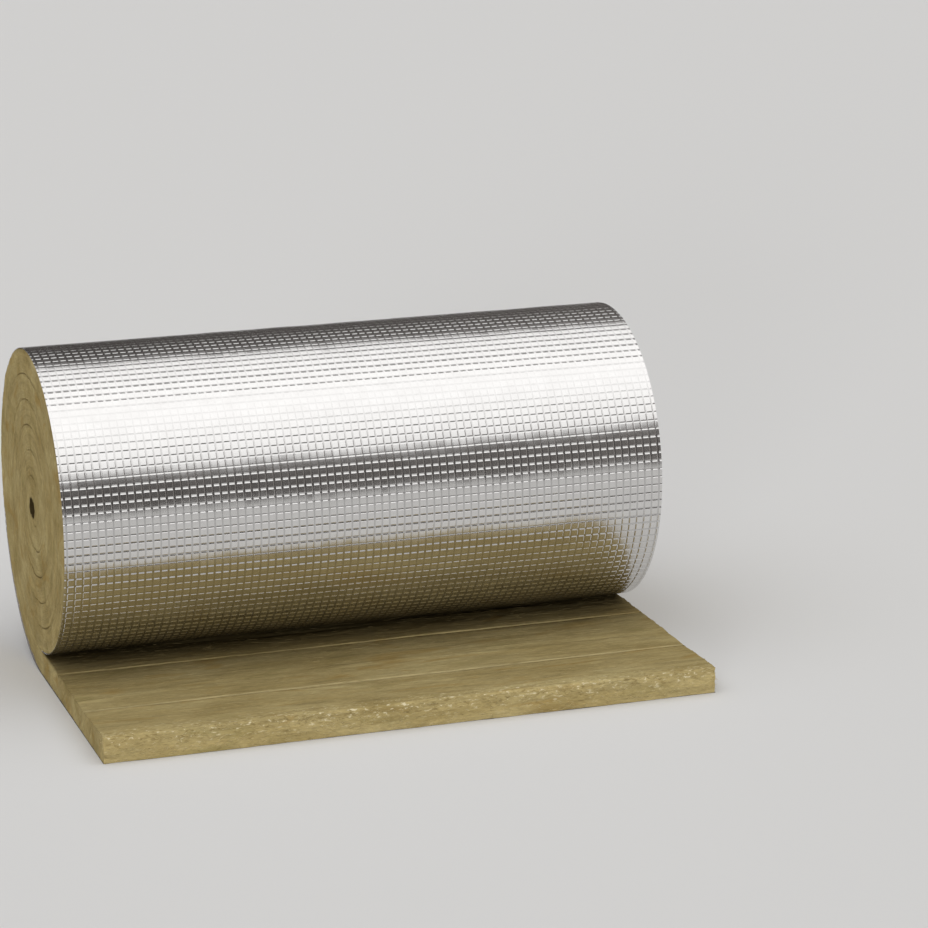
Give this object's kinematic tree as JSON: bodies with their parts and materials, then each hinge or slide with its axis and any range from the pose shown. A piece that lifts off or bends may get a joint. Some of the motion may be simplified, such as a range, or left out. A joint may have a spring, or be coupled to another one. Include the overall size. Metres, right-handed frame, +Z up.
{
  "type": "insulation roll",
  "caption": "Roll of foil-faced stone wool insulation mat lying on its side, partly unrolled, with an open bore and its turns showing on both ends.",
  "frame": {"origin": "on the floor, under the middle of the whole part", "axes": "+X along the roll's axis, -Y the way the tail is unrolled, +Z up"},
  "size_m": [1.2, 0.907, 0.65],
  "materials": {
    "wool": "matte fibrous stone wool, olive brown",
    "foil": "bright aluminium foil over a square thread grid"
  },
  "bodies": {
    "root": {"wool_mat": "wool", "foil_facing": "foil"}
  },
  "joints": []
}
